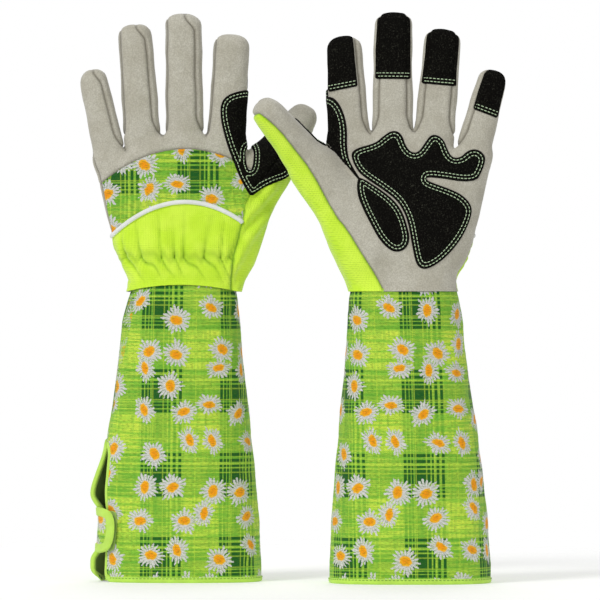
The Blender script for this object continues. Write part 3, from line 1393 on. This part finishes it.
class Cuff:
    """A flared tube with a slit. u is millimetres round it from the slit, towards the back of the hand."""

    def __init__(self, glove):
        self.lean, self.slit = GLOVES[glove]["lean"], math.radians(GLOVES[glove]["slit_angle"])
        self.heights = np.linspace(0, CUFF[-1, 0] + 6, LEVELS)
        turn = self.slit + np.linspace(0, math.tau, 4 * SHARES + 1)
        self.angles, self.round = np.empty((LEVELS, SHARES + 1)), np.empty(LEVELS)
        for k, z in enumerate(self.heights):
            place = self.polar(turn, np.full(len(turn), z))
            steps = np.linalg.norm(np.diff(place, axis=0), axis=1)
            along = np.concatenate([[0], np.cumsum(steps)])
            self.round[k] = along[-1]
            self.angles[k] = np.interp(np.linspace(0, along[-1], SHARES + 1), along, turn)

    def polar(self, angle, z):
        """The point of the section at height z in a direction from its centre."""
        half_width, half_deep = (cubic(z, CUFF[:, 0], CUFF[:, k]) for k in (1, 2))
        c, s = np.cos(angle), np.sin(angle)
        n = SQUARENESS
        reach = ((np.abs(c) / half_width) ** n + (np.abs(s) / half_deep) ** n) ** (-1 / n)
        lean = self.lean * (np.clip(z, 0, CUFF_TOP) / CUFF_TOP) ** 1.5
        return np.stack([lean + reach * c, reach * s, z], 1)

    def smooth_place(self, u, z):
        """The point u round the plain tube at height z."""
        round_z = np.interp(z, self.heights, self.round)
        share = np.mod(u / round_z, 1) * SHARES
        level = np.clip(z / self.heights[-1] * (LEVELS - 1), 0, LEVELS - 1.001)
        i, k = np.floor(share).astype(int) % SHARES, np.floor(level).astype(int)
        along, up = share - np.floor(share), level - k
        low = self.angles[k, i] * (1 - along) + self.angles[k, i + 1] * along
        high = self.angles[k + 1, i] * (1 - along) + self.angles[k + 1, i + 1] * along
        return self.polar(low * (1 - up) + high * up, z)

    def normal(self, u, z):
        round_way = self.smooth_place(u + 0.8, z) - self.smooth_place(u - 0.8, z)
        up = self.smooth_place(u, z + 1) - self.smooth_place(u, np.maximum(z - 1, 0))
        return unit(np.cross(round_way, up))

    def bulge(self, behind, z):
        """How far the cuff stands out beside the slit and above it."""
        high = 3.0 * smooth((205 - z) / 25) + 1.5 * smooth((125 - z) / 30)
        return high * smooth((z - 38) / 30) * hump(behind, 16)

    def relief(self, u, z):
        """Soft folds, and the loose rear edge of the slit, which bows out above and below the tab."""
        place = self.smooth_place(u, z)
        folds = waves(place * [1, 1, 0.3], 34, 11) + 0.45 * waves(place * [1, 1, 0.5], 15, 12)
        folds += 0.14 * waves(place, 6, 13)
        folds *= smooth(z / 14) * smooth((CUFF_TOP + 6 - z) / 30) * 0.75 + 0.25
        behind = np.where(u > self.round[0] * 0.5, u - np.interp(z, self.heights, self.round), u)
        upper = 8.0 * smooth((z - 46) / 15) * smooth((SLIT_HEIGHT - z) / 40)
        lower = 7.5 * smooth(z / 9) * smooth((27 - z) / 12)
        bow = (upper + lower) * np.exp(-np.clip(-behind - SLIT_WIDTH / 2, 0, None) / 8) * (behind < 0)
        tucked = 0.8 * smooth((z - CUFF_TOP + 9) / 8)
        return folds * smooth(np.abs(behind) / 30 + 0.25) + self.bulge(behind, z) + bow - tucked

    def place(self, u, z, lift=0.0):
        u, z = np.broadcast_arrays(np.asarray(u, float), np.asarray(z, float))
        return self.smooth_place(u, z) + self.normal(u, z) * (self.relief(u, z) + lift)[:, None]

    def cloth(self, u, z):
        """Where a point is on its flat panel of cloth: the back and the palm side are cut apart."""
        def round_to(turn):
            shares = [np.interp(turn * math.pi, a, np.linspace(0, 1, SHARES + 1)) for a in self.angles]
            return np.interp(z, self.heights, shares * self.round)

        back, palm = u - round_to(1.5), u - round_to(2.5) + PALM_CLOTH_SHIFT
        return np.stack([np.where(u < round_to(2), back, palm), 0 * u, z], 1)

    def slit_width(self, z):
        """The slit's width, rounded at its top end."""
        rise = np.clip((z - (SLIT_HEIGHT - SLIT_WIDTH)) / SLIT_WIDTH, 0, 1)
        return SLIT_WIDTH * np.sqrt(np.clip(1 - rise**2, 0, 1)) + 0.1


def flat_grid(low, high, step):
    """Points and triangles of a flat rectangle of u and z."""
    counts = [max(int(round((high[k] - low[k]) / step)), 1) + 1 for k in range(2)]
    u, z = (np.linspace(low[k], high[k], counts[k]) for k in range(2))
    points = np.stack(np.meshgrid(u, z, indexing="ij"), -1).reshape(-1, 2)
    return points, grid_triangles(*counts)


def grid_triangles(columns, rows):
    i, j = (a.ravel() for a in np.meshgrid(range(columns - 1), range(rows - 1), indexing="ij"))
    a, b = i * rows + j, (i + 1) * rows + j
    return np.concatenate([np.stack([a, b, b + 1], 1), np.stack([a, b + 1, a + 1], 1)])


def build_cuff(glove, hand):
    """The printed sleeve, whose top follows the seam with the hand, and all that is sewn to it."""
    cuff = Cuff(glove)
    columns, rows = np.linspace(0, 1, CUFF_COLUMNS), np.linspace(0, 1, CUFF_ROWS)
    share, up = (a.ravel() for a in np.meshgrid(columns, rows, indexing="ij"))
    z = 1.0 + up * (CUFF_TOP - 1)
    half = cuff.slit_width(z) / 2
    u = half + share * (np.interp(z, cuff.heights, cuff.round) - 2 * half)
    plain = cuff.smooth_place(u, z)
    z = z + up**6 * (-hand.bottom(plain) + 2.0)
    points = cuff.place(u, z)
    tris = grid_triangles(CUFF_COLUMNS, CUFF_ROWS)
    normals = vertex_normals(points, tris)
    points, normals, faces, used = shell(points, normals, tris, CUFF_SKIN)
    cloth = np.vstack([cuff.cloth(u, z)[used]] * 2)
    title = f"{glove}.cuff_sleeve"
    thing = piece(title, glove, points, faces, "print_fabric", "print_fabric", normals, cloth)
    thing.data.materials.append(MATERIALS["lining"])
    index = np.zeros(len(faces), np.int32)
    index[len(tris): 2 * len(tris)] = 1
    thing.data.polygons.foreach_set("material_index", index)
    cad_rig.replaces(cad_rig.ride(thing, f"{glove}_cuff"), f"{glove}_cuff_sleeve")
    add_binding(glove, cuff)
    add_tab(glove, cuff)


def add_binding(glove, cuff):
    """Lime tape over the hem and both sides of the slit, and the hem's stitches."""
    side = SLIT_WIDTH / 2 + 0.9
    rise = np.linspace(SLIT_HEIGHT + 1, HEM_HALF + HEM_CORNER, 50)
    edge = cuff.slit_width(rise) / 2 + 0.9
    turn = np.linspace(0, math.pi / 2, 6)[1:-1]
    corner_u = side + HEM_CORNER * (1 - np.cos(turn))
    corner_z = HEM_HALF + HEM_CORNER * (1 - np.sin(turn))
    hem = np.linspace(side + HEM_CORNER, cuff.round[0] - side - HEM_CORNER, 190)
    u = np.concatenate([edge, corner_u, hem, cuff.round[0] - corner_u[::-1], -edge[::-1]])
    z = np.concatenate([rise, corner_z, np.full(len(hem), HEM_HALF), corner_z[::-1], rise[::-1]])
    tail = len(edge)
    u[-tail:] += np.interp(z[-tail:], cuff.heights, cuff.round)
    path, normals = cuff.place(u, z, -CUFF_SKIN / 2), cuff.normal(u, z)
    rear = np.arange(len(u)) > len(u) / 2
    rows = resample(np.hstack([path, normals, z[:, None], rear[:, None]]), 1.6)
    wider = np.where(rows[:, 7] > 0.5, 1.9, -0.3) * smooth((rows[:, 6] - HEM_HALF - 2) / 6)
    deep = TAPE_DEEP + 0.35 * wider
    points, faces = tube(rows[:, :3], rows[:, 3:6], HEM_HALF + wider, deep, sides=14)
    thing = piece(f"{glove}.edge_binding", glove, points, faces, "lime_binding", "lime_binding")
    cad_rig.replaces(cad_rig.ride(thing, f"{glove}_cuff"), f"{glove}_edge_binding")
    z = np.full(len(hem), HEM_HALF + 0.9)
    line = np.hstack([cuff.place(hem, z, TAPE_DEEP - CUFF_SKIN / 2), cuff.normal(hem, z)])
    _, bodies = stitch_row(line, -0.15)
    thing = stitches(f"{glove}.hem_stitches", glove, bodies, "hem_thread", "lime_binding")
    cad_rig.ride(thing, f"{glove}_cuff")


def sewn_piece(low, high, corner, levels):
    """A flat rectangle with round corners, with edges at these depths inside its outline."""
    outline = rounded([
        (low[0] + corner, low[1]), (high[0] - corner, low[1]),
        (high[0], low[1] + corner), (high[0], high[1] - corner),
        (high[0] - corner, high[1]), (low[0] + corner, high[1]),
        (low[0], high[1] - corner), (low[0], low[1] + corner),
    ])
    data, tris = flat_grid((low[0] - 1, low[1] - 1), (high[0] + 1, high[1] + 1), 0.9)
    for level in levels:
        data, tris = cut_along(data, tris, outline_distance(data, outline) - level, snap=0.05)
    inside = outline_distance(data, outline)
    return data, clean(tris[inside[tris].min(1) > levels[0] - 0.06]), inside


def add_tab(glove, cuff):
    """The closing tab, bound in lime round a printed inlay, and the hook and loop patches under it."""

    def make(name, material, shape, height, thickness, above=None):
        """A flat piece over the cuff's cloth, by the tab's rise, or lying on the cuff if above is given."""
        data, tris, inside = shape
        u, z = data.T
        if above is None:
            rise = 1.3 + 1.9 * smooth((u - TAB_START - 4) / 9) + cuff.bulge(u, z) + height(inside)
            points = cuff.smooth_place(u, z) + cuff.normal(u, z) * rise[:, None]
        else:
            points = cuff.place(u, z, above + height(inside))
        normals = vertex_normals(points, tris)
        points, normals, faces, used = shell(points, normals, tris, thickness)
        cloth = np.vstack([np.stack([u + 0.02, 0 * u, z], 1)[used]] * 2) if above is None else None
        return piece(f"{glove}.{name}", glove, points, faces, material, material, normals, cloth)

    def bend(thing):
        """Makes a piece of the tab follow it from the cuff onwards."""
        ends = cuff.smooth_place(np.array(TAB_BEND), np.full(2, (TAB_LOW + TAB_HIGH) / 2))
        start, end = to_row(ends, glove)
        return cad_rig.blend(thing, f"{glove}_cuff", f"{glove}_tab", start=start, end=end)

    low, high = (TAB_START, TAB_LOW), (TAB_END, TAB_HIGH)
    inlay = sewn_piece(low, high, TAB_CORNER, (1.0,))
    thing = bend(make("closure_tab", "print_fabric", inlay, lambda d: 1.2, 1.2))
    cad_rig.replaces(thing, f"{glove}_closure_tab")
    data, tris, inside = sewn_piece(low, high, TAB_CORNER, (0.0, 0.5, 1.1, 5.6, 6.2, 6.6))
    border = (data, tris[inside[tris].mean(1) < 6.6], inside)
    bend(make(
        "closure_tab_border", "lime_binding", border,
        lambda d: 0.5 + 1.7 * np.sqrt(np.clip(d / 1.1, 0, 1)) - 1.3 * smooth((d - 5.6) / 1.0), 2.0,
    ))
    hook = sewn_piece((1, TAB_LOW + 3), (TAB_END - 2.5, TAB_HIGH - 3), 4, (0.0, 0.6))
    thing = make("hook_patch", "hook_and_loop", hook, lambda d: -0.5 + 0.2 * smooth(d), 0.7)
    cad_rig.replaces(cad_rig.ride(thing, f"{glove}_tab"), f"{glove}_hook_patch")
    loop = sewn_piece((6, TAB_LOW + 2), (TAB_END - 1, TAB_HIGH - 2), 2.5, (0.0, 0.5))
    edge = lambda d: 0.5 * np.sqrt(np.clip(d, 0, 1))
    thing = make("loop_patch", "hook_and_loop", loop, edge, 1.0, above=0.3)
    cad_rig.replaces(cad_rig.ride(thing, f"{glove}_cuff"), f"{glove}_loop_patch")


# ------------------------------------------------------------------ camera, light and floor
CAMERA_DISTANCE = 4.0
VIEW_WIDTH = 0.4224
AIM = (0.0053, -0.007, 0.1982)
# Lamps: place, size and power.
LAMPS = {
    "key": ((-1.7, -1.9, 2.1), 0.9, 46),
    "fill": ((1.8, -1.8, 0.9), 1.6, 7),
    "back": ((0.2, 1.8, 1.6), 1.6, 12),
}
WORLD_LIGHT = 0.55
FLOOR_FADE = (0.2, 0.75)


def stage():
    """The photo's front view, soft light and a white world, which lights less than it shows."""
    camera = bpy.data.cameras.new("camera")
    camera.sensor_width = 36
    camera.lens = camera.sensor_width * CAMERA_DISTANCE / VIEW_WIDTH
    camera.clip_end = 20
    holder = add_to_scene("camera", camera)
    holder.location = (AIM[0], AIM[1] - CAMERA_DISTANCE, AIM[2])
    holder.rotation_euler = (math.radians(90), 0, 0)
    bpy.context.scene.camera = holder
    for name, (place, size, power) in LAMPS.items():
        light = bpy.data.lights.new(name, "AREA")
        light.size = size
        light.energy = power
        lamp = add_to_scene(name, light)
        lamp.location = place
        lamp.rotation_euler = (Vector((0, 0, 0.2)) - Vector(place)).to_track_quat("-Z", "Y").to_euler()
    world = bpy.data.worlds.new("studio")
    world.use_nodes = True
    nodes, links = world.node_tree.nodes, world.node_tree.links
    nodes["Background"].inputs["Color"].default_value = (1, 1, 1, 1)
    seen, strength = nodes.new("ShaderNodeLightPath"), nodes.new("ShaderNodeMapRange")
    links.new(seen.outputs["Is Camera Ray"], strength.inputs["Value"])
    strength.inputs["To Min"].default_value = WORLD_LIGHT
    strength.inputs["To Max"].default_value = 1.0
    links.new(strength.outputs[0], nodes["Background"].inputs["Strength"])
    bpy.context.scene.world = world
    add_floor()


def add_floor():
    """A pale floor that fades out into the white world round the gloves."""
    far = 2
    mesh = bpy.data.meshes.new("floor")
    mesh.from_pydata([(-far, -far, 0), (far, -far, 0), (far, far, 0), (-far, far, 0)], [], [(0, 1, 2, 3)])
    floor = add_to_scene("floor", mesh)
    material = bpy.data.materials.new("pale_floor")
    material.use_nodes = True
    nodes, links = material.node_tree.nodes, material.node_tree.links
    surface = nodes["Principled BSDF"]
    surface.inputs["Base Color"].default_value = (0.92, 0.92, 0.91, 1)
    surface.inputs["Roughness"].default_value = 0.8
    surface.inputs["Emission Color"].default_value = (1, 1, 1, 1)
    surface.inputs["Emission Strength"].default_value = 0.16
    place, away = nodes.new("ShaderNodeTexCoord"), nodes.new("ShaderNodeVectorMath")
    away.operation = "LENGTH"
    links.new(place.outputs["Object"], away.inputs[0])
    fade = nodes.new("ShaderNodeMapRange")
    fade.interpolation_type = "SMOOTHSTEP"
    fade.inputs["From Min"].default_value, fade.inputs["From Max"].default_value = FLOOR_FADE
    links.new(away.outputs["Value"], fade.inputs["Value"])
    clear, blend = nodes.new("ShaderNodeBsdfTransparent"), nodes.new("ShaderNodeMixShader")
    links.new(fade.outputs[0], blend.inputs[0])
    links.new(surface.outputs[0], blend.inputs[1])
    links.new(clear.outputs[0], blend.inputs[2])
    links.new(blend.outputs[0], nodes["Material Output"].inputs["Surface"])
    mesh.materials.append(material)
    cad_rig.stage(floor)


bpy.context.scene.view_settings.view_transform = "Standard"
stage()
for glove in GLOVES:
    build_cuff(glove, build_hand(glove))

with open("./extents.json", "w") as file:
    sizes = {"cad": CAD_BOX, "visual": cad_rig.bounds()}
    json.dump({name: [list(map(float, corner)) for corner in box] for name, box in sizes.items()}, file)
